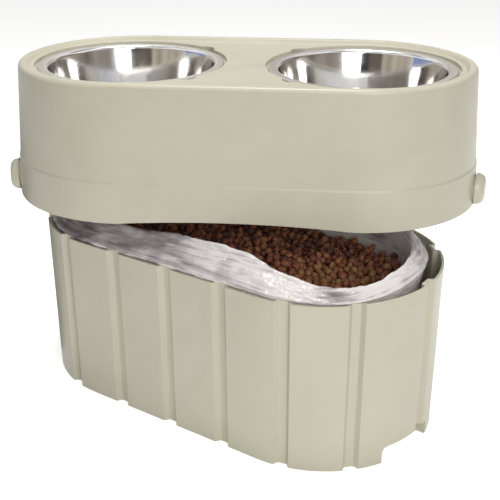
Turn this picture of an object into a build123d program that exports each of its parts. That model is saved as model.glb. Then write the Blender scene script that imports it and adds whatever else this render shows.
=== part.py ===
"""Elevated dog feeder with a food store in its base.

The frame has +Z up, +X along the storage base, and its origin on the floor, under the middle
of the base. The feeder top is lifted off and turned, as when the food is reached for.
All sizes are in millimetres.
"""
from build123d import *
from math import cos, hypot, radians, sin
import os

# ------------------------------------------------------------------ driving dimensions
# storage base: an upright tub with round ends, grooved all round
base_half_span = 140.6  # from its middle to the centre of a round end
base_rim_radius = 154.9
base_draft = 2.7  # the wall leans out by this much from foot to rim
base_height = 230.3
base_wall = 3.2
base_floor = 3.5
flute_width = 21.0  # across the mouth of a groove
flute_bottom_width = 11.0
flute_depth = 7.0
flute_bottom_round = 2.5
flute_mouth_round = 8.0
flute_pitch = 86.2  # between grooves along a straight side
flutes_per_side = 3
flute_end_angles = (-76.8, -43.3, 0.0, 43.3, 76.8)  # round each end, from the long axis
grip_width = 92.0  # hand hold under each end
grip_shift = 23.0  # of its middle from the long axis towards the front
grip_height = 23.0
grip_depth = 40.0
grip_corner = 8.0

# feeder top: a deep cap that carries the bowls
top_half_span = 150.7
top_hem_radius = 163.9
top_rim_radius = 153.5
top_height = 176.5
top_wall = 3.5
band_height = 53.8  # the lower band takes the rim of the base
band_proud = 1.3
band_slope = 2.5  # height of the slanted ledge along the top of the band
hem_arch = 6.0  # the hem rises by this much in the middle of each long side
lip_width = 11.0
lip_round = 6.0
lip_inner_round = 2.5
deck_drop = 5.0  # from the lip down to the deck
deck_slope = 3.5  # the lip's inner wall leans in by this much
seat_rib_depth = 20.0
seat_rib_thickness = 3.0
seat_rib_angles = (-75.0, -40.0, 40.0, 75.0)  # round each end
seat_rib_offset = 55.0  # of the ribs on the long sides, from the middle

# bowls
bowl_offset = 155.0  # of a bowl's axis from the middle of the top
bowl_flange_radius = 125.0
bowl_mouth_radius = 111.5
bowl_floor_radius = 98.7  # where the lines of the floor and the wall meet
bowl_depth = 66.0
bowl_metal = 1.0
bowl_floor_round = 16.0
bowl_mouth_round = 5.0
bowl_bead = 1.5  # radius of the rolled edge
bowl_drop = 7.0  # from the lip down to the flange
bowl_side_clearance = 1.8
bowl_seat_margin = 3.5  # of the recess round the flange
finger_notch_radius = 14.0
finger_notch_reach = 12.0  # of a notch beyond the flange
finger_notch_angle = 45.0

# end knobs that lock the top onto the base
knob_angle = 13.0  # from the long axis towards the front
knob_height = 19.0  # of its axis above the hem
knob_radius = 21.5  # at the wall, from where it narrows
knob_face_radius = 18.5
knob_length = 12.0
knob_round = 8.5
pad_radius = 18.5
pad_proud = 1.0
stem_radius = 6.0
inner_boss_radius = 9.5
inner_boss_proud = 2.2
cam_thickness = 4.0
cam_reach = 21.0
cam_width = 16.0
washer_radius = 8.0
washer_thickness = 1.0
screw_radius = 2.0
screw_length = 14.0
screw_head_radius = 4.5
screw_head_height = 2.6
drive_radius = 1.6
drive_depth = 1.6

# food bag and its fill
bag_film = 1.5
bag_side_clearance = 1.0
bag_collar_height = 34.0  # above the rim of the base
bag_collar_width = 24.0
kibble_drop = 46.0  # of the fill below the rim of the base
kibble_crown = 12.0
kibble_crown_inset = 60.0

# how the top is held over the base
top_turn = 29.4  # degrees
top_shift_x = -16.9
top_shift_y = 49.2
top_gap = 48.7  # from the rim of the base up to the hem

running_clearance = 0.05  # a stem in its hole
soft_clearance = 0.3  # beside soft pieces and moving pieces
overshoot = 2.0  # of a cutter past the face it cuts

# ------------------------------------------------------------------ worked-out sizes
base_foot_radius = base_rim_radius - base_draft
base_slant = hypot(base_draft, base_height)
band_top_radius = top_hem_radius + (top_rim_radius - top_hem_radius) * band_height / top_height
band_radius = band_top_radius + band_proud
deck_height = top_height - deck_drop
seat_height = top_height - bowl_drop - 2 * bowl_bead - soft_clearance
deck_underside = seat_height - top_wall
seat_rib_length = seat_rib_depth + top_wall  # it runs into the wall
knob_wall_radius = (
    top_hem_radius + (band_radius - top_hem_radius) * knob_height / (band_height - band_slope)
)
hem_height = base_height + top_gap
top_plane = Plane(
    origin=(top_shift_x, top_shift_y, hem_height),
    x_dir=(cos(radians(top_turn)), sin(radians(top_turn)), 0),
    z_dir=(0, 0, 1),
)
knob_headings = {"right": -knob_angle, "left": 180 + knob_angle}


def knob_plane(heading):
    """Square to a knob's axis where it leaves the wall of the top, +Z outwards, +X level."""
    outwards = top_plane.x_dir.rotate(Axis.Z, heading)
    end = 1 if cos(radians(heading)) > 0 else -1
    lobe = top_plane.origin + top_plane.x_dir * end * top_half_span
    origin = lobe + outwards * knob_wall_radius + Vector(0, 0, knob_height)
    return Plane(origin, x_dir=outwards.rotate(Axis.Z, 90), z_dir=outwards)


def base_radius_at(height):
    """Outer radius of the round ends of the base at a height."""
    return base_foot_radius + base_draft * height / base_height


def stadium(plane, half_span, radius, height):
    """A level outline with round ends, at a height over a plane."""
    with BuildSketch(plane.offset(height)) as outline:
        SlotCenterToCenter(2 * half_span, 2 * radius)
    return outline.sketch


def tapered(plane, half_span, low, high, mode=Mode.ADD):
    """A straight-sided body between two outlines, each given as (radius, height)."""
    sections = [stadium(plane, half_span, radius, height) for radius, height in (low, high)]
    loft(sections, ruled=True, mode=mode)


def leaning_prism(corners, rounds, extra):
    """An upright prism that leans with the wall of the base; +Y is outwards.

    The rounds are of its rows of corners from the innermost outwards; the outermost row stays
    sharp. It is lengthened by extra at both ends.
    """
    start = Plane.XY.offset(-extra)
    with BuildPart() as prism:
        with BuildSketch(start) as section:
            with BuildLine():
                Polyline(*corners, close=True)
            make_face()
            for row, size in zip(section.vertices().group_by(Axis.Y), rounds):
                fillet(row, size)
        extrude(
            amount=base_slant * (1 + 2 * extra / base_height),
            dir=(0, base_draft, base_height),
        )
    return prism.part.moved(Location((0, -extra * base_draft / base_height, 0)))


# ------------------------------------------------------------------ storage base
flute_places = []
for step in range(flutes_per_side):
    along = (step - (flutes_per_side - 1) / 2) * flute_pitch
    flute_places.append(Location((along, base_foot_radius, 0)))
    flute_places.append(Location((along, -base_foot_radius, 0), (0, 0, 180)))
for end, turn in ((1, 0), (-1, 180)):
    for angle in flute_end_angles:
        heading = angle + turn
        place = (
            end * base_half_span + base_foot_radius * cos(radians(heading)),
            base_foot_radius * sin(radians(heading)),
            0,
        )
        flute_places.append(Location(place, (0, 0, heading - 90)))

groove = leaning_prism(
    [
        (-flute_width, 2 * overshoot),
        (-flute_width / 2, 0),
        (-flute_bottom_width / 2, -flute_depth),
        (flute_bottom_width / 2, -flute_depth),
        (flute_width / 2, 0),
        (flute_width, 2 * overshoot),
    ],
    (flute_bottom_round, flute_mouth_round),
    overshoot,
)
groove_back = leaning_prism(
    [
        (-flute_width / 2 - base_wall, -base_wall / 2),
        (-flute_bottom_width / 2 - base_wall, -flute_depth - base_wall),
        (flute_bottom_width / 2 + base_wall, -flute_depth - base_wall),
        (flute_width / 2 + base_wall, -base_wall / 2),
    ],
    (flute_bottom_round,),
    0,
)

with BuildPart() as grip_block:
    tapered(Plane.XY, base_half_span, (base_foot_radius, 0), (base_rim_radius, base_height))
    grip_back = base_half_span + base_foot_radius - grip_depth - base_wall
    with Locations((grip_back, -grip_shift, 0)):
        Box(
            2 * grip_depth,
            grip_width + 2 * base_wall,
            grip_height + base_wall,
            align=(Align.MIN, Align.CENTER, Align.MIN),
            mode=Mode.INTERSECT,
        )

with BuildPart() as storage_base:
    tapered(Plane.XY, base_half_span, (base_foot_radius, 0), (base_rim_radius, base_height))
    tapered(
        Plane.XY,
        base_half_span,
        (base_radius_at(base_floor) - base_wall, base_floor),
        (base_radius_at(base_height + overshoot) - base_wall, base_height + overshoot),
        mode=Mode.SUBTRACT,
    )
    with Locations(*flute_places):
        add(groove_back)
    add(grip_block.part)
    mirror(grip_block.part, about=Plane.YZ)
    with Locations(*flute_places):
        add(groove, mode=Mode.SUBTRACT)
    for end in (1, -1):
        grip_end = end * (base_half_span + base_foot_radius - grip_depth)
        with BuildSketch(Plane(origin=(grip_end, 0, 0), x_dir=(0, end, 0), z_dir=(end, 0, 0))):
            with Locations((-end * grip_shift, grip_height / 2 - overshoot)):
                grip_outline = Rectangle(grip_width, grip_height + 2 * overshoot)
            fillet(grip_outline.vertices().group_by(Axis.Y)[-1], grip_corner)
        extrude(amount=2 * grip_depth, mode=Mode.SUBTRACT)
storage_base.part.label = "storage_base"

# ------------------------------------------------------------------ feeder top
rib_reach = top_rim_radius - seat_rib_length / 2
rib_places = []
for end, turn in ((1, 0), (-1, 180)):
    for angle in seat_rib_angles:
        heading = radians(angle + turn)
        rib_x = end * top_half_span + rib_reach * cos(heading)
        rib_y = rib_reach * sin(heading)
        rib_places.append(Location((rib_x, rib_y, band_height), (0, 0, angle + turn)))
for side in (1, -1):
    for along in (-seat_rib_offset, seat_rib_offset):
        rib_places.append(Location((along, side * rib_reach, band_height), (0, 0, 90)))

with BuildPart(top_plane) as feeder_top:
    tapered(
        top_plane,
        top_half_span,
        (band_top_radius, band_height),
        (top_rim_radius, top_height),
    )
    fillet(feeder_top.faces().sort_by(Axis.Z)[-1].edges(), lip_round)
    # the band and the slanted ledge along its top
    band_edge = (band_radius, band_height - band_slope)
    tapered(top_plane, top_half_span, (top_hem_radius, 0), band_edge)
    tapered(top_plane, top_half_span, band_edge, (band_top_radius, band_height))
    # the sunk deck inside the lip
    tapered(
        top_plane,
        top_half_span,
        (top_rim_radius - lip_width - deck_slope, deck_height),
        (top_rim_radius - lip_width + deck_slope * overshoot / deck_drop, top_height + overshoot),
        mode=Mode.SUBTRACT,
    )
    lip_top = feeder_top.faces().sort_by(Axis.Z)[-1]
    fillet(lip_top.inner_wires()[0].edges(), lip_inner_round)
    # the hollow below: first the band, then up to the underside of the deck
    tapered(
        top_plane,
        top_half_span,
        (top_hem_radius - top_wall, 0),
        (band_radius - top_wall, band_height),
        mode=Mode.SUBTRACT,
    )
    tapered(
        top_plane,
        top_half_span,
        (band_top_radius - top_wall, band_height),
        (top_rim_radius - top_wall, deck_underside),
        mode=Mode.SUBTRACT,
    )
    # ribs that hang from the deck and sit on the rim of the base when the top is on
    with Locations(*rib_places):
        Box(
            seat_rib_length,
            seat_rib_thickness,
            deck_underside - band_height,
            align=(Align.CENTER, Align.CENTER, Align.MIN),
        )
    # seats and holes for the bowls, with notches for the fingers that lift them
    for side in (1, -1):
        with Locations((side * bowl_offset, 0, seat_height)):
            Cylinder(
                bowl_flange_radius + bowl_seat_margin,
                top_height,
                align=(Align.CENTER, Align.CENTER, Align.MIN),
                mode=Mode.SUBTRACT,
            )
            Cylinder(
                bowl_mouth_radius + bowl_metal + bowl_side_clearance,
                2 * top_height,
                mode=Mode.SUBTRACT,
            )
        for turn in (-finger_notch_angle, finger_notch_angle):
            heading = radians(turn)
            reach = bowl_flange_radius + finger_notch_reach - finger_notch_radius
            notch_x = side * (bowl_offset - reach * cos(heading))
            with Locations((notch_x, reach * sin(heading), deck_height)):
                Cylinder(
                    finger_notch_radius,
                    2 * (deck_height - deck_underside) + overshoot,
                    mode=Mode.SUBTRACT,
                )
    # the hem rises in a shallow arch on each long side
    arch_radius = (top_half_span**2 + hem_arch**2) / (2 * hem_arch)
    upright = Plane(top_plane.origin, x_dir=top_plane.x_dir, z_dir=-top_plane.y_dir)
    with BuildSketch(upright) as arch:
        with Locations((0, hem_arch - arch_radius)):
            Circle(arch_radius)
    extrude(amount=2 * top_hem_radius, both=True, mode=Mode.SUBTRACT)
    # pads for the knobs outside, bosses for their cams inside, and the holes of their stems
    for heading in knob_headings.values():
        with BuildSketch(knob_plane(heading).offset(-top_wall + pad_proud)):
            Circle(pad_radius)
        extrude(amount=top_wall)
        with BuildSketch(knob_plane(heading).offset(-top_wall - inner_boss_proud)):
            Circle(inner_boss_radius)
        extrude(amount=top_wall + inner_boss_proud)
        with BuildSketch(knob_plane(heading).offset(-top_wall - inner_boss_proud - overshoot)):
            Circle(stem_radius + running_clearance)
        extrude(amount=top_wall + inner_boss_proud + pad_proud + 2 * overshoot, mode=Mode.SUBTRACT)
feeder_top.part.label = "feeder_top"

# ------------------------------------------------------------------ bowls
def bowl_plane(side):
    """Upright plane through a bowl's axis, with its origin level with the flange."""
    centre = top_plane.origin + top_plane.x_dir * side * bowl_offset
    centre += Vector(0, 0, top_height - bowl_drop)
    return Plane(centre, x_dir=top_plane.x_dir, z_dir=-top_plane.y_dir)


bowls = {}
for name, side in (("bowl_left", -1), ("bowl_right", 1)):
    plane = bowl_plane(side)
    with BuildPart() as bowl:
        with BuildSketch(plane) as section:
            with BuildLine():
                skin = FilletPolyline(
                    (0, -bowl_depth),
                    (bowl_floor_radius, -bowl_depth),
                    (bowl_mouth_radius, 0),
                    (bowl_flange_radius - bowl_bead, 0),
                    radius=[bowl_floor_round, bowl_mouth_round + bowl_metal],
                )
                offset(skin, amount=bowl_metal, side=Side.RIGHT)
            make_face()
            with Locations((bowl_flange_radius - bowl_bead, -bowl_bead)):
                Circle(bowl_bead)
        revolve(axis=Axis(plane.origin, (0, 0, 1)))
    bowl.part.label = name
    bowls[name] = bowl.part

# ------------------------------------------------------------------ end knobs
boss_face = -top_wall - inner_boss_proud
cam_face = boss_face - soft_clearance
washer_face = cam_face - cam_thickness
head_face = washer_face - washer_thickness
knob_pieces = {}
for name, heading in knob_headings.items():
    face = knob_plane(heading)
    knob_back = pad_proud + soft_clearance

    with BuildPart() as knob:
        with BuildSketch(face.offset(knob_back)):
            Circle(knob_radius)
        with BuildSketch(face.offset(knob_back + knob_length)):
            Circle(knob_face_radius)
        loft()
        outer_end = knob.faces().sort_by(Axis(face.origin, face.z_dir))[-1]
        fillet(outer_end.edges(), knob_round)
        with BuildSketch(face.offset(washer_face)):
            Circle(stem_radius)
        extrude(amount=knob_back - washer_face)
        with BuildSketch(face.offset(washer_face)):
            Circle(screw_radius)
        extrude(amount=screw_length, mode=Mode.SUBTRACT)

    with BuildPart() as cam:
        with BuildSketch(face.offset(washer_face)):
            with Locations((0, -(cam_reach - cam_width / 2) / 2)):
                SlotOverall(cam_reach + cam_width / 2, cam_width, rotation=90)
            Circle(stem_radius, mode=Mode.SUBTRACT)
        extrude(amount=cam_thickness)

    with BuildPart() as washer:
        with BuildSketch(face.offset(head_face)):
            Circle(washer_radius)
            Circle(screw_radius, mode=Mode.SUBTRACT)
        extrude(amount=washer_thickness)

    with BuildPart() as screw:
        with BuildSketch(face.offset(head_face)):
            Circle(screw_radius)
        extrude(amount=washer_thickness + screw_length)
        with BuildSketch(face.offset(head_face - screw_head_height)):
            Circle(screw_head_radius)
        extrude(amount=screw_head_height)
        with BuildSketch(face.offset(head_face - screw_head_height)):
            RegularPolygon(drive_radius, 6)
        extrude(amount=drive_depth, mode=Mode.SUBTRACT)

    pieces = {"lock_knob": knob, "lock_cam": cam, "knob_washer": washer, "knob_screw": screw}
    for kind, piece in pieces.items():
        piece.part.label = f"{kind}_{name}"
        knob_pieces[piece.part.label] = piece.part

# ------------------------------------------------------------------ food bag and kibble
bag_floor = base_floor + soft_clearance
bag_setback = flute_depth + base_wall + bag_side_clearance  # clear of the backs of the grooves
collar_top = base_height + bag_collar_height


def tub_fill(inset, top):
    """What fills the tub up to a level, clear of the grooves and the hand holds."""
    low = bag_floor + inset
    setback = bag_setback + inset
    block = base_wall + soft_clearance + inset
    with BuildPart() as fill:
        tapered(
            Plane.XY,
            base_half_span,
            (base_radius_at(low) - setback, low),
            (base_radius_at(top) - setback, top),
        )
        for end, align in ((1, Align.MIN), (-1, Align.MAX)):
            grip_end = end * (base_half_span + base_foot_radius - grip_depth - block)
            with Locations((grip_end, -grip_shift, 0)):
                Box(
                    2 * grip_depth,
                    grip_width + 2 * block,
                    2 * (grip_height + block),
                    align=(align, Align.CENTER, Align.CENTER),
                    mode=Mode.SUBTRACT,
                )
    return fill.part


bag_rim_radius = base_rim_radius - bag_setback
with BuildPart() as food_bag:
    add(tub_fill(0, base_height))
    add(tub_fill(bag_film, base_height), mode=Mode.SUBTRACT)
    # the bunched collar stands above the rim and leans in over the fill
    tapered(Plane.XY, base_half_span, (bag_rim_radius, base_height), (bag_rim_radius, collar_top))
    tapered(
        Plane.XY,
        base_half_span,
        (bag_rim_radius - bag_film, base_height),
        (bag_rim_radius - bag_collar_width, collar_top),
        mode=Mode.SUBTRACT,
    )
food_bag.part.label = "food_bag"

kibble_inset = bag_film + soft_clearance
kibble_top = base_height - kibble_drop
kibble_top_radius = base_radius_at(kibble_top) - bag_setback - kibble_inset
with BuildPart() as kibble:
    add(tub_fill(kibble_inset, kibble_top))
    tapered(
        Plane.XY,
        base_half_span,
        (kibble_top_radius, kibble_top),
        (kibble_top_radius - kibble_crown_inset, kibble_top + kibble_crown),
    )
kibble.part.label = "kibble"

# ------------------------------------------------------------------ one file for each piece
os.makedirs("parts", exist_ok=True)
export_step(storage_base.part, "parts/storage_base.step")
export_step(feeder_top.part, "parts/feeder_top.step")
export_step(food_bag.part, "parts/food_bag.step")
export_step(kibble.part, "parts/kibble.step")
for name, piece in (bowls | knob_pieces).items():
    export_step(piece, f"parts/{name}.step")
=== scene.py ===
# %% [markdown]
# # An elevated dog feeder with a food store in its base
# The feeder is two plastic mouldings, two steel bowls and a film bag of dry food. Its working model
# is loaded first and never moved: this script gives it its finishes, replaces the two soft pieces
# with modelled ones, and sets up a small studio round it.

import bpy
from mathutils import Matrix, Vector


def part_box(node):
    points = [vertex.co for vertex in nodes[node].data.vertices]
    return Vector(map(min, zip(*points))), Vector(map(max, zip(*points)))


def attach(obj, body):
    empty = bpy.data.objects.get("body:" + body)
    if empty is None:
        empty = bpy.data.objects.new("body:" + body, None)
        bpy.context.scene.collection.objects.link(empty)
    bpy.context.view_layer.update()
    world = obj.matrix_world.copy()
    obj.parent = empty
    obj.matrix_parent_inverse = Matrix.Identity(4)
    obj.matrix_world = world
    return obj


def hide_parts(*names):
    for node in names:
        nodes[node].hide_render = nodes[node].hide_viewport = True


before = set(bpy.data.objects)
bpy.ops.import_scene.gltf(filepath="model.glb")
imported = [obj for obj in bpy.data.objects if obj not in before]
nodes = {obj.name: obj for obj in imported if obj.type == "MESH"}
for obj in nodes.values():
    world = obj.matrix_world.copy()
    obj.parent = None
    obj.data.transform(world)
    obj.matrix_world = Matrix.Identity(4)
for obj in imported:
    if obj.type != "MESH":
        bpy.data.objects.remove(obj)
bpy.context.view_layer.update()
print("pieces in the frame:", ", ".join(sorted(nodes)))

# %% [markdown]
# ## Sizes that the whole script shares
# Everything is in metres, so a millimetre helper keeps the numbers readable. The sizes of the tub
# are measured on the frame instead of being typed again: it has round ends, so half its width is
# the radius of an end, and what is left of its length is the straight part.

# %% Measure the frame
import math

import bmesh
import bpy
import numpy as np
from mathutils import Vector, noise

MM = 0.001
tub_low, tub_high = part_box("storage_base")
rim_radius = (tub_high.y - tub_low.y) / 2
half_span = (tub_high.x - tub_low.x) / 2 - rim_radius
rim_height = tub_high.z
print(f"rim {rim_height / MM:.1f} mm high, ends of radius {rim_radius / MM:.1f} mm")

# %% [markdown]
# ## The camera
# A catalogue picture is taken from a few steps away with a long lens, so that the upright edges
# stay nearly parallel. The camera stands in front and to the right, and looks down a little.

# %% Camera
camera_place = (0.7350, -1.0080, 0.7385)
camera_pitch, camera_heading = math.radians(66.68), math.radians(35.18)
lens_length = 70.56  # in millimetres, on a sensor 36 mm wide

camera_data = bpy.data.cameras.new("camera")
camera_data.lens = lens_length
camera = bpy.data.objects.new("camera", camera_data)
camera.location = camera_place
camera.rotation_euler = (camera_pitch, 0, camera_heading)
bpy.context.scene.collection.objects.link(camera)
bpy.context.scene.camera = camera
bpy.context.scene.view_settings.view_transform = "Standard"
print(f"camera at {camera_place}, {lens_length} mm lens")

# %% [markdown]
# ## One function for nodes, one for colours
# A material is a small graph. One function adds any node: its settings are written as keywords and
# its inputs as a dictionary, where a socket is linked and any other value is set. Colours are
# written as sRGB hex codes, as a paint chart gives them, and turned to linear light here.


# %% Helpers for materials
def linear(hex_code):
    """sRGB hex to linear RGBA."""
    colour = []
    for start in (0, 2, 4):
        value = int(hex_code[start : start + 2], 16) / 255
        colour.append(value / 12.92 if value <= 0.04045 else ((value + 0.055) / 1.055) ** 2.4)
    return (*colour, 1)


def add(tree, kind, inputs=None, stops=None, **settings):
    """Adds one shader node with its settings, input values, links and colour stops."""
    made = tree.nodes.new("ShaderNode" + kind)
    for name, value in settings.items():
        setattr(made, name, value)
    for name, value in (inputs or {}).items():
        if isinstance(value, bpy.types.NodeSocket):
            tree.links.new(value, made.inputs[name])
        else:
            made.inputs[name].default_value = value
    if stops:
        ramp = made.color_ramp
        while len(ramp.elements) < len(stops):
            ramp.elements.new(1)
        for element, (place, colour) in zip(ramp.elements, stops):
            element.position = place
            element.color = linear(colour)
    return made


def start_material(name):
    """An empty material and its node tree."""
    made = bpy.data.materials.new(name)
    made.use_nodes = True
    made.node_tree.nodes.clear()
    return made, made.node_tree


def finish_material(tree, shader):
    """Joins a shader to the material's output."""
    add(tree, "OutputMaterial", {"Surface": shader})


def dress(node_name, finish):
    """Gives a piece of the frame its finish."""
    piece = nodes[node_name]
    piece.data.materials.clear()
    piece.data.materials.append(finish)


# %% [markdown]
# ## Moulded polypropylene
# The two big shells, the knobs and the cams are polypropylene, moulded in one warm grey. A mould
# is eroded by sparks before it is used, which leaves a fine matt grain on the plastic: it spreads
# the light softly, with a broad low shine. A moulding is never quite even. The plastic flows in
# slow swirls that differ a little in tone and gloss, and every edge has a small round. The round
# is drawn by the shader's bevel, which needs no extra faces.


# %% Polypropylene
def moulded_polypropylene():
    made, tree = start_material("moulded_polypropylene")
    swirl_width = 110 * MM
    grain_width = 0.9 * MM  # the real grain is about 0.1 mm, drawn coarser so that it shows
    place = add(tree, "TexCoord").outputs["Object"]
    swirl = add(
        tree,
        "TexNoise",
        {"Vector": place, "Scale": 1 / swirl_width, "Detail": 3.0, "Distortion": 0.8},
    )
    tone = add(
        tree, "ValToRGB", {"Fac": swirl.outputs["Fac"]}, stops=[(0.32, "C7C4B2"), (0.68, "CDCAB9")]
    )
    gloss = add(
        tree,
        "MapRange",
        {
            "Value": swirl.outputs["Fac"],
            "From Min": 0.3,
            "From Max": 0.7,
            "To Min": 0.32,
            "To Max": 0.42,
        },
    )
    spark_grain = add(tree, "TexNoise", {"Vector": place, "Scale": 1 / grain_width, "Detail": 3.0})
    edge_round = add(tree, "Bevel", {"Radius": 0.7 * MM}, samples=6)
    bump = add(
        tree,
        "Bump",
        {
            "Height": spark_grain.outputs["Fac"],
            "Strength": 0.16,
            "Distance": 0.06 * MM,
            "Normal": edge_round.outputs["Normal"],
        },
    )
    shader = add(
        tree,
        "BsdfPrincipled",
        {
            "Base Color": tone.outputs["Color"],
            "Roughness": gloss.outputs["Result"],
            "Normal": bump.outputs["Normal"],
            "IOR": 1.49,
            "Specular IOR Level": 0.48,
        },
    )
    finish_material(tree, shader.outputs["BSDF"])
    return made


plastic = moulded_polypropylene()
for name in ("storage_base", "feeder_top", "lock_knob_left", "lock_knob_right"):
    dress(name, plastic)
print(f"{plastic.name}: {len(plastic.node_tree.nodes)} nodes")

# %% [markdown]
# ## Drawn stainless steel
# Each bowl is pressed from one sheet of stainless steel. The inside is then polished while the
# bowl spins, which leaves very fine rings, and the flat flange keeps a satin finish. So one
# number, the distance from the bowl's axis, decides how rough the steel is, and the rings are a
# noise that changes only with that distance and with the height. Polished steel has hardly any
# colour of its own: what it shows is the room.


# %% Stainless steel
def drawn_steel(name, node_name):
    made, tree = start_material(name)
    flange_width, flange_blend = 13.5 * MM, 1.5 * MM
    ring_gap = 0.7 * MM  # real polishing rings are about 0.1 mm apart, drawn coarser to show
    smudge_width = 28 * MM
    low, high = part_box(node_name)
    middle_of_bowl = ((low.x + high.x) / 2, (low.y + high.y) / 2, 0)
    flange_edge = (high.x - low.x) / 2
    mouth_edge = flange_edge - flange_width
    place = add(tree, "TexCoord").outputs["Object"]
    from_axis = add(tree, "VectorMath", {0: place, 1: middle_of_bowl}, operation="SUBTRACT")
    flat = add(
        tree, "VectorMath", {0: from_axis.outputs["Vector"], 1: (1, 1, 0)}, operation="MULTIPLY"
    )
    reach = add(tree, "VectorMath", {0: flat.outputs["Vector"]}, operation="LENGTH")
    on_flange = add(
        tree,
        "MapRange",
        {
            "Value": reach.outputs["Value"],
            "From Min": mouth_edge,
            "From Max": mouth_edge + flange_blend,
        },
    )
    height = add(tree, "SeparateXYZ", {"Vector": place}).outputs["Z"]
    along_wall = add(tree, "CombineXYZ", {"X": reach.outputs["Value"], "Y": height})
    rings = add(
        tree,
        "TexNoise",
        {"Vector": along_wall.outputs["Vector"], "Scale": 1 / ring_gap, "Detail": 2.0},
    )
    smudge = add(tree, "TexNoise", {"Vector": place, "Scale": 1 / smudge_width, "Detail": 3.0})
    polish = add(
        tree,
        "MapRange",
        {
            "Value": smudge.outputs["Fac"],
            "From Min": 0.35,
            "From Max": 0.7,
            "To Min": 0.07,
            "To Max": 0.15,
        },
    )
    roughness = add(
        tree,
        "Mix",
        {"Factor": on_flange.outputs["Result"], "A": polish.outputs["Result"], "B": 0.27},
        data_type="FLOAT",
    )
    ring_bump = add(
        tree, "Bump", {"Height": rings.outputs["Fac"], "Strength": 0.1, "Distance": 0.03 * MM}
    )
    shader = add(
        tree,
        "BsdfPrincipled",
        {
            "Base Color": linear("E4E3E2"),
            "Metallic": 1.0,
            "Roughness": roughness.outputs["Result"],
            "Normal": ring_bump.outputs["Normal"],
        },
    )
    finish_material(tree, shader.outputs["BSDF"])
    print(f"{name}: flange from {mouth_edge / MM:.0f} to {flange_edge / MM:.0f} mm off its axis")
    return made


for name in ("bowl_left", "bowl_right"):
    dress(name, drawn_steel(f"drawn_steel_{name}", name))

# %% [markdown]
# ## Zinc plate
# The washers and screws that hold the cams are steel with a thin bright zinc plate. Zinc leaves a
# bluish grey metal with a faint cloudy pattern and a roughness in between polished and matt.


# %% Zinc plate
def zinc_plate():
    made, tree = start_material("zinc_plate")
    cloud_width = 3 * MM
    place = add(tree, "TexCoord").outputs["Object"]
    cloud = add(tree, "TexNoise", {"Vector": place, "Scale": 1 / cloud_width, "Detail": 4.0})
    tone = add(
        tree, "ValToRGB", {"Fac": cloud.outputs["Fac"]}, stops=[(0.35, "A9ADB2"), (0.65, "C6C9CC")]
    )
    rough = add(tree, "MapRange", {"Value": cloud.outputs["Fac"], "To Min": 0.28, "To Max": 0.42})
    shader = add(
        tree,
        "BsdfPrincipled",
        {
            "Base Color": tone.outputs["Color"],
            "Metallic": 1.0,
            "Roughness": rough.outputs["Result"],
        },
    )
    finish_material(tree, shader.outputs["BSDF"])
    return made


zinc = zinc_plate()
for side in ("left", "right"):
    dress(f"lock_cam_{side}", plastic)
    dress(f"knob_washer_{side}", zinc)
    dress(f"knob_screw_{side}", zinc)
print(f"{zinc.name}: {len(zinc.node_tree.nodes)} nodes")

# %% [markdown]
# ## Walking round the tub
# The bag and the food follow the tub's outline: two straight sides and two half circles. One
# function walks round it at even steps. For each place it gives the point of the middle line that
# the place belongs to and the direction straight out from there, so only a radius is left to
# choose.


# %% The outline as a walk
def walk_round(count, radius):
    """Middle points, outward directions and distances walked, evenly spaced along a radius."""
    arc = math.pi * radius
    corners = np.cumsum([0, half_span, arc, 2 * half_span, arc, half_span])
    walked = np.arange(count) / count * corners[-1]
    middle_x = np.interp(walked, corners, [0, -half_span, -half_span, half_span, half_span, 0])
    heading = np.radians(np.interp(walked, corners, [90, 90, 270, 270, 450, 450]))
    middle = np.stack([middle_x, np.zeros(count)], axis=1)
    outward = np.stack([np.cos(heading), np.sin(heading)], axis=1)
    return middle, outward, walked


# %% [markdown]
# ## The food bag
# The bag is thin polyethylene film. It lines the tub, stands up above the rim, leans in over the
# food and turns over into a cuff. It could be draped by a cloth simulation, but a cuff that hands
# have folded has a shape that gravity alone doesn't find. So it is lofted instead: each place
# round the tub gets a side view of the film, from the bottom up, over the fold and down, and
# those side views are joined like the ribs of a boat.
#
# The cuff isn't even. A few stations, each at a bearing from the middle of the tub, say how high
# the fold stands over the rim, how far it leans in from the rim, how far the film is pulled in
# inside the tub, and how far it spreads over the rim again. In between they are blended.

# %% Stations of the cuff
bag_columns = 520
film_gap = 12.2 * MM  # from the outside of the rim to the film
film_radius = rim_radius - film_gap
middle, outward, walked = walk_round(bag_columns, film_radius)
whole_walk = walked[-1] + walked[1]
edge = middle + film_radius * outward
bearing = np.degrees(np.arctan2(edge[:, 1], edge[:, 0]))

cuff_stations = np.array(
    [  # bearing in degrees, then height, lean, pull and spread in millimetres
        (-157, 33, 32, 3, 7),
        (-146, 31, 33, 1, 10),
        (-134, 29, 34, 0, 10.6),
        (-118, 27, 34, 0, 10.6),
        (-104, 31, 33, 0, 10.6),
        (-90, 35, 33, 0, 10.6),
        (-64, 39, 33, 0, 10.6),
        (-52, 36, 32, 0, 10.6),
        (-46, 28, 31, 0, 10.6),
        (-38, 21, 30, 0, 10.6),
        (-31, 13, 29, 0, 10.6),
        (-24, 9, 29, 1, 10),
        (-17, 10, 30, 3, 6),
        (-9, 14, 33, 7, 4),
        (0, 19, 36, 11, 3),
        (13, 25, 41, 13, 3),
        (30, 32, 42, 13, 3),
        (50, 35, 36, 7, 4),
        (67, 37, 34, 4, 5),
        (113, 38, 30, 3, 6),
        (155, 36, 31, 4, 5),
        (180, 36, 32, 5, 4),
    ]
)


def round_the_tub(column, reach=12):
    """One column of the stations at every place of the walk, with its corners smoothed."""
    values = np.interp(bearing, cuff_stations[:, 0], cuff_stations[:, column], period=360)
    weights = np.hanning(2 * reach + 3)[1:-1]
    looped = np.concatenate([values[-reach:], values, values[:reach]])
    return np.convolve(looped, weights / weights.sum(), mode="valid") * MM


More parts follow.
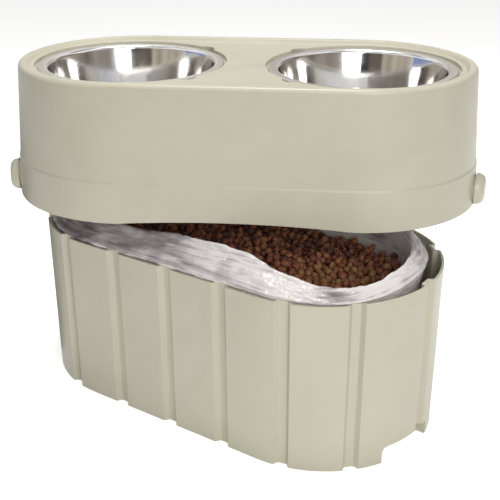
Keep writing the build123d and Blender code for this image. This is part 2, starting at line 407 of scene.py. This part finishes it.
fold_height, fold_lean, pull_in, spread = (round_the_tub(column) for column in (1, 2, 3, 4))
print(f"the fold stands {fold_height.min() / MM:.0f} to {fold_height.max() / MM:.0f} mm high")

# %% [markdown]
# ### One side view of the film
# A side view is a smooth curve through a few knots. Each knot is a radius and a height, and each
# of those is a whole row of numbers, one for each place round the tub, so one formula draws every
# side view at once. The curve is a Catmull-Rom spline, which passes through its knots.


# %% Side view
def through_knots(knots, rows_between):
    """Points of a Catmull-Rom spline, with a chosen number of rows between each two knots."""
    rows = []
    last = len(knots) - 1
    for k, count in enumerate(rows_between):
        before, start, end, after = (knots[min(max(k + step, 0), last)] for step in (-1, 0, 1, 2))
        for t in np.arange(count) / count:
            bend = (2 * before - 5 * start + 4 * end - after) * t**2
            twist = (3 * start - before - 3 * end + after) * t**3
            rows.append(0.5 * (2 * start + (end - before) * t + bend + twist))
    return np.array(rows + [knots[-1]])


tub_floor = 5 * MM  # the film lies this high
low_pull = 1.2  # lower down, the film is pulled in this many times as far as at the rim
at_wall = film_radius - 1 * MM
at_rim = film_radius - pull_in
fold = rim_radius - fold_lean
fold_top = rim_height + fold_height
knots = [
    # over the floor of the tub
    (0.02 * film_radius, tub_floor),
    (0.5 * film_radius, tub_floor),
    (film_radius - 24 * MM, tub_floor),
    # up the wall
    (film_radius - 4 * MM, 16 * MM),
    (at_wall, 0.25 * rim_height),
    (at_wall, 0.6 * rim_height),
    (at_wall - low_pull * pull_in, rim_height - 42 * MM),
    (at_rim, rim_height - 9 * MM),
    # out over the rim and in again to the fold
    (at_rim + 0.92 * spread, rim_height + 1.5 * MM),
    (at_rim + spread, rim_height + 0.26 * fold_height + 0.5 * MM),
    (0.4 * at_rim + 0.6 * fold, rim_height + 0.78 * fold_height),
    (fold + 3 * MM, fold_top - 1 * MM),
    (fold - 1 * MM, fold_top),
    (fold - 2.5 * MM, fold_top - 4 * MM),
    # down inside, to the free edge
    (fold + 3 * MM, rim_height + 0.5 * fold_height),
    (0.5 * at_rim + 0.5 * fold, rim_height - 6 * MM),
    (at_rim - 5 * MM, rim_height - 24 * MM),
]
rows_between = [4, 4, 4, 5, 5, 5, 8, 8, 8, 11, 9, 3, 3, 8, 8, 6]
all_round = np.ones(bag_columns)
knots = np.array([(out * all_round, up * all_round) for out, up in knots])
side_view = through_knots(knots, rows_between)
radius, height = side_view[:, 0], side_view[:, 1]
steps = np.hypot(np.diff(radius, axis=0), np.diff(height, axis=0))
row_lengths = np.concatenate([np.zeros((1, bag_columns)), np.cumsum(steps, axis=0)])
print(f"{len(side_view)} rows, {row_lengths[-1].mean() / MM:.0f} mm of film from middle to edge")

# %% [markdown]
# ### Creases
# Film doesn't hang in soft waves like cloth: it creases. Long streaks run along the gathered
# cuff, and between them the film breaks into small flat facets. Both are moves of the points
# square to the surface: ridged noise that is stretched along the walk draws the streaks, and a
# cell pattern draws the facets. Inside the tub the film lies against the food and stays smooth.

# %% Creases
streak_length, streak_gap = 120 * MM, 12 * MM
facet_length, facet_width = 30 * MM, 15 * MM
streak_rise, fine_rise, facet_rise, sink = 1.4, 0.7, 2.4, 1.7  # in millimetres
crease_start, crease_blend = rim_height - 34 * MM, 26 * MM
loop_radius = whole_walk / (2 * math.pi)
noise.seed_set(17)  # without it, the clock would decide where the cells' shifts start


def crease(turn, across):
    """How far the film stands out at a place, in millimetres."""
    x, y = loop_radius * math.cos(turn), loop_radius * math.sin(turn)
    # the streaks wander up and down in a few slow waves and some quicker ones
    slant = across + 22 * MM * math.sin(3 * turn + 1) + 9 * MM * math.sin(11 * turn)
    along = Vector((x / streak_length, y / streak_length, slant / streak_gap))
    streak = 1 - 2 * abs(noise.noise(along))
    finer = along * 2.3 + Vector((7, 3, 5))  # another part of the same noise, drawn smaller
    fine = 1 - 2 * abs(noise.noise(finer))
    cell = Vector((x / facet_length, y / facet_length, across / facet_width))
    shift = 0.35 * noise.noise_vector(0.7 * cell)  # so that no two cells look alike
    near = noise.voronoi(cell + shift)[0]
    facet = near[1] - near[0]
    return streak_rise * streak**2 + fine_rise * fine**2 + facet_rise * facet - sink


turns = walked / loop_radius
above = np.clip((height - crease_start) / crease_blend, 0, 1)
moves = np.zeros(height.shape)
for row, column in np.argwhere(above > 0):
    moves[row, column] = crease(turns[column], row_lengths[row, column]) * above[row, column] * MM

slope = np.stack([np.gradient(radius, axis=0), np.gradient(height, axis=0)])
slope /= np.hypot(*slope)
radius = radius + slope[1] * moves
height = height - slope[0] * moves
inside_tub = height < rim_height + 1 * MM
radius = np.where(inside_tub, np.minimum(radius, film_radius + 0.4 * MM), radius)
print(f"creases from {moves.min() / MM:.1f} to {moves.max() / MM:.1f} mm")

# %% [markdown]
# ### Join the side views
# The rows and columns become one grid of four-sided faces that closes on itself round the tub. A
# map of the unrolled film, in metres, goes with it, so that the material's streaks can follow the
# cuff. At each end the film also has to lie over the block that makes room for a hand.


# %% Helpers for meshes
def build_mesh(name, points, faces, unrolled=None):
    """A smooth mesh object, with a map of the unrolled surface if one is given."""
    mesh = bpy.data.meshes.new(name)
    mesh.from_pydata(points.reshape(-1, 3).tolist(), [], faces)
    mesh.shade_smooth()
    if unrolled is not None:
        layer = mesh.uv_layers.new(name="unrolled")
        layer.data.foreach_set("uv", np.concatenate(unrolled).ravel())
    piece = bpy.data.objects.new(name, mesh)
    bpy.context.scene.collection.objects.link(piece)
    return piece


def grid_faces(rows, columns, closed=True):
    """Faces of a grid of points. If it is closed, the last column joins the first."""
    faces = []
    for row in range(rows - 1):
        low, high = row * columns, (row + 1) * columns
        for column in range(columns if closed else columns - 1):
            beside = (column + 1) % columns
            faces.append((low + column, low + beside, high + beside, high + column))
    return faces


grip_reach, grip_top = 46 * MM, 28.5 * MM
grip_middle, grip_half_width = -23 * MM, 51 * MM  # the hold sits towards the front


def lift_over_grips(points, beside=0, above=0):
    """Lifts points over the block at each end, with some room beside and above it."""
    over_grip = np.abs(points[..., 0]) > half_span + rim_radius - grip_reach - beside
    over_grip &= np.abs(points[..., 1] - grip_middle) < grip_half_width + beside
    lifted = np.maximum(points[..., 2], grip_top + above)
    points[..., 2] = np.where(over_grip, lifted, points[..., 2])


# %% Build the bag
flat = middle + radius[:, :, None] * outward
film = np.concatenate([flat, height[:, :, None]], axis=2)
lift_over_grips(film)
row_count = len(film)
column_width = whole_walk / bag_columns
bag_faces = grid_faces(row_count, bag_columns)
unrolled = []
for row in range(row_count - 1):
    for column in range(bag_columns):
        left, right = column * column_width, (column + 1) * column_width
        under, over = row_lengths[row, column], row_lengths[row + 1, column]
        unrolled.append([(left, under), (right, under), (right, over), (left, over)])
bag_faces.append(tuple(reversed(range(bag_columns))))  # the small round hole in the middle
unrolled.append(np.zeros((bag_columns, 2)))
bag = build_mesh("food_bag_film", film, bag_faces, unrolled)
film_area = sum(face.area for face in bag.data.polygons)
print(f"{len(bag_faces)} faces, {film_area:.3f} square metres of film")

# %% [markdown]
# ### The film's finish
# Polyethylene is a milky plastic, and a film of it lets most of the light straight through. Where
# it is stretched or creased it turns whiter, and each crease catches a thin line of light. So its
# opacity and its colour come from one streaky pattern that follows the unrolled film. On top of
# that, painted shade makes it darker and clearer towards the left end of the tub, in the shade of
# the top, and painted light makes it whiter towards the right end. Some of the light comes out
# softly on the far side, and the small crinkles between the modelled creases are bump.


# %% Polyethylene film
def polyethylene_film():
    made, tree = start_material("polyethylene_film")
    streak_size = (90 * MM, 7.5 * MM)  # along the cuff and across it
    haze_width, crinkle_width = 45 * MM, 7 * MM
    unrolled_map = add(tree, "UVMap", uv_map="unrolled").outputs["UV"]
    drawn = add(
        tree,
        "Mapping",
        {"Vector": unrolled_map, "Scale": (1 / streak_size[0], 1 / streak_size[1], 1)},
    )
    streaks = add(
        tree,
        "TexNoise",
        {"Vector": drawn.outputs["Vector"], "Scale": 1.0, "Detail": 4.0, "Distortion": 1.1},
    )
    place = add(tree, "TexCoord").outputs["Object"]
    haze = add(tree, "TexNoise", {"Vector": place, "Scale": 1 / haze_width, "Detail": 2.0})
    along_tub = add(tree, "SeparateXYZ", {"Vector": place}).outputs["X"]
    # painted shade towards the left end and painted light towards the right end, by place along the
    # tub, in both colour and opacity
    painted_shade_and_light = add(
        tree,
        "MapRange",
        {
            "Value": along_tub,
            "From Min": -220 * MM,
            "From Max": 80 * MM,
            "To Min": -0.2,
            "To Max": 0.09,
        },
    )
    mottled = add(
        tree, "Math", {0: streaks.outputs["Fac"], 1: haze.outputs["Fac"]}, operation="ADD"
    )
    whiteness_and_painted_shade = add(
        tree, "Math", {0: mottled.outputs["Value"], 1: painted_shade_and_light.outputs["Result"]}, operation="ADD"
    )
    half = add(tree, "Math", {0: whiteness_and_painted_shade.outputs["Value"], 1: 0.5}, operation="MULTIPLY")
    tone = add(
        tree, "ValToRGB", {"Fac": half.outputs["Value"]}, stops=[(0.36, "B6AEB4"), (0.58, "F8F6F7")]
    )
    opacity = add(
        tree,
        "MapRange",
        {
            "Value": whiteness_and_painted_shade.outputs["Value"],
            "From Min": 0.72,
            "From Max": 1.12,
            "To Min": 0.3,
            "To Max": 0.91,
        },
    )
    crinkle = add(
        tree,
        "TexVoronoi",
        {"Vector": place, "Scale": 1 / crinkle_width, "Randomness": 1.0},
        feature="DISTANCE_TO_EDGE",
    )
    ridge = add(tree, "MapRange", {"Value": crinkle.outputs["Distance"], "From Max": 0.35})
    crinkle_bump = add(
        tree, "Bump", {"Height": ridge.outputs["Result"], "Strength": 0.5, "Distance": 0.8 * MM}
    )
    bump = add(
        tree,
        "Bump",
        {
            "Height": streaks.outputs["Fac"],
            "Strength": 0.3,
            "Distance": 1.2 * MM,
            "Normal": crinkle_bump.outputs["Normal"],
        },
    )
    shader = add(
        tree,
        "BsdfPrincipled",
        {
            "Base Color": tone.outputs["Color"],
            "Roughness": 0.16,
            "IOR": 1.51,
            "Alpha": opacity.outputs["Result"],
            "Normal": bump.outputs["Normal"],
        },
    )
    lit_through = add(
        tree,
        "BsdfTranslucent",
        {"Color": tone.outputs["Color"], "Normal": bump.outputs["Normal"]},
    )
    film = add(
        tree, "MixShader", {0: 0.25, 1: shader.outputs["BSDF"], 2: lit_through.outputs["BSDF"]}
    )
    finish_material(tree, film.outputs["Shader"])
    return made


bag.data.materials.append(polyethylene_film())
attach(bag, "base")
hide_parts("food_bag")

# %% [markdown]
# ## The food
# Dry food is a heap of baked pellets. Only the top two or three layers can ever be seen, so the
# rest is a plain core, and the pellets are dropped on it one by one: each falls on what lies under
# it and rolls to the lowest place near by. That gives the gaps and the uneven surface of a real
# heap, and takes a few seconds where a rigid body simulation of so many pieces takes minutes.

# %% The core of the heap
fill_drop, fill_crown, crown_inset = 60 * MM, 10 * MM, 60 * MM
fill_radius = film_radius - 5 * MM
fill_level = rim_height - fill_drop
core_columns = 160
core_middle, core_outward, _ = walk_round(core_columns, fill_radius)


def squeezed(places):
    """How far the film is pulled in at some places, from their bearings."""
    seen_at = np.degrees(np.arctan2(places[:, 1], places[:, 0]))
    order = bearing.argsort()
    return low_pull * np.interp(seen_at, bearing[order], pull_in[order], period=360)


def from_middle_line(places):
    """How far some places are from the tub's middle line."""
    return np.hypot(np.maximum(np.abs(places[..., 0]) - half_span, 0), places[..., 1])


def core_height(places):
    """Heights of the core's top over some places: a low crown that flattens in the middle."""
    inset = fill_radius - from_middle_line(places)
    return fill_level + fill_crown * np.clip(inset / crown_inset, 0, 1)


core_rings = [  # radius and height, from the floor up the wall
    (fill_radius - 26 * MM, 8 * MM),
    (fill_radius - 8 * MM, 28 * MM),
    (fill_radius, 60 * MM),
    (fill_radius, fill_level - 4 * MM),
]
plain_rings = 3  # the film isn't pulled in as far down as these
crown_rings = 9
insets = np.linspace(2 * MM, fill_radius - 1 * MM, crown_rings)
core_rings += [(fill_radius - inset, None) for inset in insets]
core_squeeze = squeezed(core_middle + fill_radius * core_outward)
core_points = []
for number, (ring_radius, ring_height) in enumerate(core_rings):
    pulled = core_squeeze * (ring_radius / fill_radius if number >= plain_rings else 0)
    ring = core_middle + (ring_radius - pulled)[:, None] * core_outward
    heights = core_height(ring) if ring_height is None else np.full(core_columns, ring_height)
    core_points.append(np.column_stack([ring, heights]))
core_points = np.array(core_points)
lift_over_grips(core_points, beside=3 * MM, above=2 * MM)
point_count = len(core_rings) * core_columns
core_faces = [tuple(reversed(range(core_columns)))]
core_faces += grid_faces(len(core_rings), core_columns)
core_faces.append(tuple(range(point_count - core_columns, point_count)))
core = build_mesh("kibble_core", core_points, core_faces)
print(f"core of {len(core_faces)} faces, its top {fill_drop / MM:.0f} mm under the rim")

# %% [markdown]
# ### Drop the pellets
# A pellet that has landed is kept in a bucket for its part of the tub, so a new one only asks the
# few buckets round it what it could touch. It tries eight places round where it is, moves to the
# lowest, and takes smaller steps once it can't get lower.

# %% Drop the pellets
pellet_count = 3000
mean_radius = 5.2 * MM
bucket_size = 16 * MM
first_stride, last_stride = 4 * MM, 0.5 * MM
on_core, on_pellet = 0.8, 0.94  # pellets settle a little into what they lie on
past_core = 2 * MM  # how far they may reach past the core, towards the film
no_room = 1.0  # a height in metres that is never the lowest
chance = np.random.default_rng(17)
pellet_sizes = mean_radius * chance.normal(1.0, 0.09, pellet_count).clip(0.8, 1.25)
compass = np.array([(math.cos(a), math.sin(a)) for a in np.arange(8) * math.pi / 4])
landed = np.zeros((pellet_count, 3))
buckets = {}


def lowest_rest(places, size, near):
    """Heights at which a pellet would rest at some places."""
    heights = core_height(places) + on_core * size
    if near:
        others = landed[near]
        apart = np.hypot(*(places[:, None, :] - others[None, :, :2]).transpose(2, 0, 1))
        touch = on_pellet * (size + pellet_sizes[near])
        lift = np.sqrt(np.maximum(touch**2 - apart**2, 0))
        heights = np.maximum(heights, np.where(apart < touch, others[:, 2] + lift, 0).max(axis=1))
    room = fill_radius + past_core - squeezed(places)
    return np.where(from_middle_line(places) > room - size, no_room, heights)


def bucket_of(place):
    """Which part of the tub a place is in."""
    return tuple(np.floor(place / bucket_size).astype(int))


for number in range(pellet_count):
    size = pellet_sizes[number]
    start_height = no_room
    while start_height == no_room:
        place = chance.uniform(-1, 1, 2) * (half_span + fill_radius, fill_radius)
        start_height = lowest_rest(place[None], size, [])[0]
    stride = first_stride
    while stride > last_stride:
        across, along = bucket_of(place)
        near = []
        for step in np.ndindex(3, 3):
            near += buckets.get((across + step[0] - 1, along + step[1] - 1), [])
        tries = np.vstack([place, place + stride * compass])
        heights = lowest_rest(tries, size, near)
        best = int(heights.argmin())
        if best == 0:
            stride /= 2
        place = tries[best]
    landed[number] = (*place, heights[best])
    buckets.setdefault(bucket_of(place), []).append(number)
print(f"heap top {(rim_height - landed[:, 2].max()) / MM:.0f} mm under the rim")

# %% [markdown]
# ### The shapes of the pellets
# Baked pellets come out of one die but puff up differently: most are nearly round, some flat, a
# few long. A handful of shapes, each turned and sized at random, is enough. Each pellet also
# carries one number, which the material turns into its colour: its time in the oven, at random,
# plus painted light on the pellets towards the right front and painted shade on the others,
# most at the left, under the top.

# %% Shapes of the pellets
shapes = [
    (1.0, 1.0, 0.86),
    (1.06, 0.96, 0.94),
    (1.0, 0.92, 0.8),
    (1.12, 1.08, 0.66),
    (1.42, 0.84, 0.8),
    (0.96, 1.0, 0.98),
]
dent_depth, dents_across, shape_step = 0.11, 1.3, 9
ball = bmesh.new()
bmesh.ops.create_icosphere(ball, subdivisions=2, radius=1.0)
ball_points = np.array([vertex.co for vertex in ball.verts])
ball_faces = np.array([[vertex.index for vertex in face.verts] for face in ball.faces])
ball.free()
shape_points = []
for number, stretch in enumerate(shapes):
    seed = Vector((number * shape_step, 0, 0))
    dents = [noise.noise(Vector(point) * dents_across + seed) for point in ball_points]
    dented = np.array([1 + dent_depth * dent for dent in dents])
    shape_points.append(ball_points * stretch * dented[:, None])
shape_points = np.array(shape_points)

# each pellet's map is its two halves, laid side by side in a small square of its own
half_size, half_shift, flatten = (0.2, 0.42), 0.25, 1.15
ball_corners = ball_points[ball_faces]
upper = np.sign(ball_corners[:, :, 2].mean(axis=1))
half_map = ball_corners[:, :, :2] / (flatten + ball_corners[:, :, 2] * upper[:, None])[:, :, None]
half_middles = np.column_stack([0.5 + half_shift * upper, np.full(len(upper), 0.5)])
half_map = half_map * half_size + half_middles[:, None]
print(f"{len(shapes)} shapes of {len(ball_faces)} faces")

# %% Build the pellets
# painted light and shade: pellets towards this corner are drawn lighter, the others darker, most at
# the left under the top
lit_corner = (0.576, -0.817)  # the direction of the right front corner of the tub
lit_start, lit_blend = 15 * MM, 50 * MM
painted_shade_blend = 100 * MM


def turned(count):
    """Random rotations, evenly spread, as one array of matrices."""
    quaternions = chance.normal(size=(4, count))
    w, x, y, z = quaternions / np.linalg.norm(quaternions, axis=0)
    return np.array(
        [
            [1 - 2 * (y * y + z * z), 2 * (x * y - z * w), 2 * (x * z + y * w)],
            [2 * (x * y + z * w), 1 - 2 * (x * x + z * z), 2 * (y * z - x * w)],
            [2 * (x * z - y * w), 2 * (y * z + x * w), 1 - 2 * (x * x + y * y)],
        ]
    ).transpose(2, 0, 1)


def baking_times_and_painted_light(places):
    """How long each pellet was in the oven, from 0 to 1, plus painted light at the right front and
    painted shade elsewhere, most at the left.
    """
    painted_light = np.clip((places[:, :2] @ lit_corner - lit_start) / lit_blend, 0, 1)
    painted_shade = np.clip(-places[:, 0] / painted_shade_blend, 0, 1)
    spread_out = chance.random(len(places)) * (0.8 - 0.35 * painted_light)
    return spread_out + 0.2 * (1 - painted_light) + 0.15 * painted_shade


def build_pellets(name, chosen):
    """One mesh of many pellets, with their oven times, painted light and shade, and a map for each.
    """
    count = len(chosen)
    kinds = chance.integers(0, len(shapes), count)
    local = shape_points[kinds] * pellet_sizes[chosen][:, None, None]
    points = np.einsum("nij,nkj->nki", turned(count), local) + landed[chosen][:, None]
    first = np.arange(count)[:, None, None] * len(ball_points)
    faces = (ball_faces[None] + first).reshape(-1, 3)
    piece = build_mesh(name, points, faces.tolist())
    # this number holds the time in the oven plus painted light at the right front and painted shade
    # at the left
    baked_and_painted_shade = piece.data.attributes.new("baked_and_painted_shade", "FLOAT", "POINT")
    times_and_painted_shade = baking_times_and_painted_light(landed[chosen])
    baked_and_painted_shade.data.foreach_set("value", np.repeat(times_and_painted_shade, len(ball_points)))
    squares = math.ceil(math.sqrt(count))
    cells = np.stack([np.arange(count) % squares, np.arange(count) // squares], 1)
    corners = (cells[:, None, None] + half_map[None]) / squares
    layer = piece.data.uv_layers.new(name="OFBake")
    layer.data.foreach_set("uv", corners.ravel())
    return piece


all_pellets = np.arange(pellet_count)
heaps = [
    build_pellets("kibble_heap", all_pellets[::2]),
    build_pellets("kibble_heap_more", all_pellets[1::2]),
]
print("faces:", [len(heap.data.polygons) for heap in heaps])

# %% [markdown]
# ### The food's finish
# Baked grain is matt and rough, with crumbs and pores in its skin. Its colour goes from tan to a
# dark reddish brown with the time in the oven and with the painted light and shade that share
# its number, and the fat on it gives a weak, broad shine.


# %% Baked grain
def baked_grain():
    made, tree = start_material("baked_grain")
    crumb_width = 1.6 * MM
    place = add(tree, "TexCoord").outputs["Object"]
    baked_and_painted_shade = add(tree, "Attribute", attribute_name="baked_and_painted_shade")
    colour = add(
        tree,
        "ValToRGB",
        {"Fac": baked_and_painted_shade.outputs["Fac"]},
        stops=[
            (0.0, "C29C6C"),
            (0.16, "C08E60"),
            (0.34, "BA7A58"),
            (0.58, "A0604B"),
            (0.8, "854F40"),
            (1.0, "603F37"),
        ],
    )
    crumbs = add(tree, "TexNoise", {"Vector": place, "Scale": 1 / crumb_width, "Detail": 4.0})
    shade = add(
        tree, "ValToRGB", {"Fac": crumbs.outputs["Fac"]}, stops=[(0.3, "8A8078"), (0.7, "FFFFFF")]
    )
    mixed = add(
        tree,
        "Mix",
        {"Factor": 1.0, "A": colour.outputs["Color"], "B": shade.outputs["Color"]},
        data_type="RGBA",
        blend_type="MULTIPLY",
    )
    bump = add(
        tree, "Bump", {"Height": crumbs.outputs["Fac"], "Strength": 0.7, "Distance": 0.5 * MM}
    )
    shader = add(
        tree,
        "BsdfPrincipled",
        {
            "Base Color": mixed.outputs["Result"],
            "Roughness": 0.68,
            "Normal": bump.outputs["Normal"],
        },
    )
    finish_material(tree, shader.outputs["BSDF"])
    return made


grain = baked_grain()
for piece in [core, *heaps]:
    piece.data.materials.append(grain)
    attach(piece, "base")
    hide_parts("kibble")
print(f"{grain.name} on {1 + len(heaps)} pieces")

# %% [markdown]
# ## The studio
# A white sweep and soft lamps would be enough for the plastic. The picture's white ground must not
# come from more light, though, or the pale plastic would burn out. So the floor and the world have
# two faces, which a Light Path node tells apart: what the camera sees, straight or in a mirror, is
# white, and what lights the object is dimmer.


# %% What the camera sees
def seen_straight(tree):
    """One where a ray comes from the camera, a mirror or a see-through film, otherwise zero."""
    path = add(tree, "LightPath").outputs
    mirrored = add(
        tree, "Math", {0: path["Is Camera Ray"], 1: path["Is Glossy Ray"]}, operation="MAXIMUM"
    )
    either = add(
        tree,
        "Math",
        {0: mirrored.outputs["Value"], 1: path["Is Transmission Ray"]},
        operation="MAXIMUM",
    )
    return either.outputs["Value"]


# %% White world
dim_room, white_room = 0.16, 1.0
world = bpy.data.worlds.new("studio")
bpy.context.scene.world = world
world.use_nodes = True
tree = world.node_tree
tree.nodes.clear()
dim = add(tree, "Background", {"Color": linear("FFFEFB"), "Strength": dim_room})
white = add(tree, "Background", {"Color": linear("FFFFFF"), "Strength": white_room})
sky = add(
    tree,
    "MixShader",
    {0: seen_straight(tree), 1: dim.outputs["Background"], 2: white.outputs["Background"]},
)
add(tree, "OutputWorld", {"Surface": sky.outputs["Shader"]})

# %% White floor
floor_half = 6.0
dim_glow, white_glow = 0.13, 0.7  # the floor's own light, for the object and for the camera
floor_corners = [(-1, -1, 0), (1, -1, 0), (1, 1, 0), (-1, 1, 0)]
floor = build_mesh("floor", floor_half * np.array(floor_corners), [(0, 1, 2, 3)])
floor_paint, tree = start_material("floor_paint")
diffuse = add(tree, "BsdfDiffuse", {"Color": linear("F4F4F4")})
faces_of_floor = []
for strength in (dim_glow, white_glow):
    glow = add(tree, "Emission", {"Strength": strength})
    lit = add(tree, "AddShader", {0: diffuse.outputs["BSDF"], 1: glow.outputs["Emission"]})
    faces_of_floor.append(lit.outputs["Shader"])
surface = add(
    tree, "MixShader", {0: seen_straight(tree), 1: faces_of_floor[0], 2: faces_of_floor[1]}
)
finish_material(tree, surface.outputs["Shader"])
floor.data.materials.append(floor_paint)
print(f"floor of {2 * floor_half:.0f} m, room light {dim_room}")

# %% [markdown]
# ### Lamps
# The light falls from the right and a little from above, so the right of the object is the
# brighter side, and the side of each groove that faces left is in shade. A second lamp overhead
# lights the deck, and a third, weak one behind lights the edges that turn away.


# %% Softboxes
def softbox(name, place, aim, size, power, colour, glints):
    """A square soft lamp that points at a place."""
    data = bpy.data.lights.new(name, "AREA")
    data.shape = "SQUARE"
    data.size = size
    data.energy = power
    data.color = linear(colour)[:3]
    lamp = bpy.data.objects.new(name, data)
    lamp.location = place
    lamp.rotation_euler = (Vector(aim) - Vector(place)).to_track_quat("-Z", "Y").to_euler()
    lamp.visible_glossy = glints
    bpy.context.scene.collection.objects.link(lamp)


softboxes = [  # name, place, aim, size in metres, power in watts, colour, if it shows in mirrors
    ("key_softbox", (1.62, -1.42, 1.2), (0, 0, 0.2), 1.1, 24.5, "FFFCF6", True),
    ("top_softbox", (-0.1, 0.1, 2.4), (0, 0, 0.4), 0.8, 32, "FFFDFA", True),
    ("back_softbox", (0.6, 1.8, 0.8), (0.1, 0, 0.25), 0.9, 5, "FFFDFA", False),
]
for lamp in softboxes:
    softbox(*lamp)
print(len(softboxes), "softboxes")

# %% [markdown]
# ### Cards for the steel
# Polished steel in an all-white room looks like white paper. Photographers stand grey and black
# cards round it and leave gaps between them: the cards draw the shape, and the gaps become its
# bright bands. Each card here is a patch of a big ball round the bowls, given by its bearing and
# its height above the level of the bowls, in degrees. The cards show only in reflections.

# %% Cards round the bowls
top_low, top_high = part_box("feeder_top")
cards_middle = Vector((*((top_low + top_high) / 2).xy, top_high.z))
card_distance, card_gap = 1.6, 20 * MM  # each card stands a little behind the one before
card_rows, card_columns = 5, 13
cloud_low, cloud_high = 0.65, 1.35  # how uneven the light of a card is
cards = [  # name, first and last bearing, lowest and highest place, colour
    ("warm_wall_right", -32, 100, -8, 40, "8D857C"),
    ("camera_side", -65, -51, -8, 26, "14171F"),
    ("brown_shelf", -86, -59, -8, 30, "6A6056"),
    ("beige_wall_left", -137, -79, -8, 30, "B2A99A"),
    ("window_blue", -186, -134, -8, 30, "8796BC"),
    ("far_wall", 96, 178, -8, 34, "CFCBC1"),
    ("ceiling_front", -140, 20, 42, 80, "77736F"),
    ("ceiling_right", 60, 150, 42, 80, "6D6966"),
    ("ceiling_left", -200, -165, 42, 80, "5F5C5A"),
]


def only_mirrored(piece):
    """Hides a piece from all rays but the glossy ones."""
    for ray in ("camera", "diffuse", "transmission", "volume_scatter", "shadow"):
        setattr(piece, f"visible_{ray}", False)


def card_points(start, end, lowest, highest, distance):
    """A grid of points on a ball round the bowls."""
    points = []
    for rise in np.radians(np.linspace(lowest, highest, card_rows)):
        for turn in np.radians(np.linspace(start, end, card_columns)):
            level = math.cos(rise)
            toward = Vector((math.cos(turn) * level, math.sin(turn) * level, math.sin(rise)))
            points.append(cards_middle + distance * toward)
    return np.array(points)


def card_paint(name, colour):
    """Cloudy light that fades to nothing where the card's attribute is zero."""
    paint, tree = start_material(name)
    place = add(tree, "TexCoord").outputs["Object"]
    cloud = add(tree, "TexNoise", {"Vector": place, "Scale": 3.0})
    patchy = add(
        tree,
        "MapRange",
        {
            "Value": cloud.outputs["Fac"],
            "From Min": 0.3,
            "From Max": 0.7,
            "To Min": cloud_low,
            "To Max": cloud_high,
        },
    )
    glow = add(tree, "Emission", {"Color": linear(colour), "Strength": patchy.outputs["Result"]})
    gap = add(tree, "BsdfTransparent")
    border = add(tree, "Attribute", attribute_name="solid")
    faded = add(
        tree,
        "MixShader",
        {0: border.outputs["Fac"], 1: gap.outputs["BSDF"], 2: glow.outputs["Emission"]},
    )
    finish_material(tree, faded.outputs["Shader"])
    return paint


solid = np.zeros((card_rows, card_columns))
solid[1:-1, 1:-1] = 1
for number, (name, *patch, colour) in enumerate(cards):
    points = card_points(*patch, card_distance + card_gap * number)
    card = build_mesh(name, points, grid_faces(card_rows, card_columns, closed=False))
    fade = card.data.attributes.new("solid", "FLOAT", "POINT")
    fade.data.foreach_set("value", solid.ravel())
    only_mirrored(card)
    card.data.materials.append(card_paint(f"card_{name}", colour))
print(len(cards), "cards round the bowls")

# %% [markdown]
# ### A black flag
# The edge of a pale object is lost against a white ground, because at a glancing angle even matt
# plastic mirrors that ground. A black flag on the floor behind the left end is what the edge
# mirrors instead. Like the cards, it shows only in reflections.

# %% Black flag
flag_height = 3 * MM
flag_corners = [(-0.28, -0.12), (-1.5, -0.3), (-1.7, 1.3), (-0.75, 1.7), (-0.1, 0.35)]
flag_points = np.array([(x, y, flag_height) for x, y in flag_corners])
flag = build_mesh("floor_flag", flag_points, [(4, 3, 2, 1, 0)])
only_mirrored(flag)
flag_cloth, tree = start_material("flag_cloth")
black = add(tree, "Emission", {"Color": linear("2A2A2A"), "Strength": 1.0})
finish_material(tree, black.outputs["Emission"])
flag.data.materials.append(flag_cloth)
print(f"a flag with {len(flag_corners)} corners")
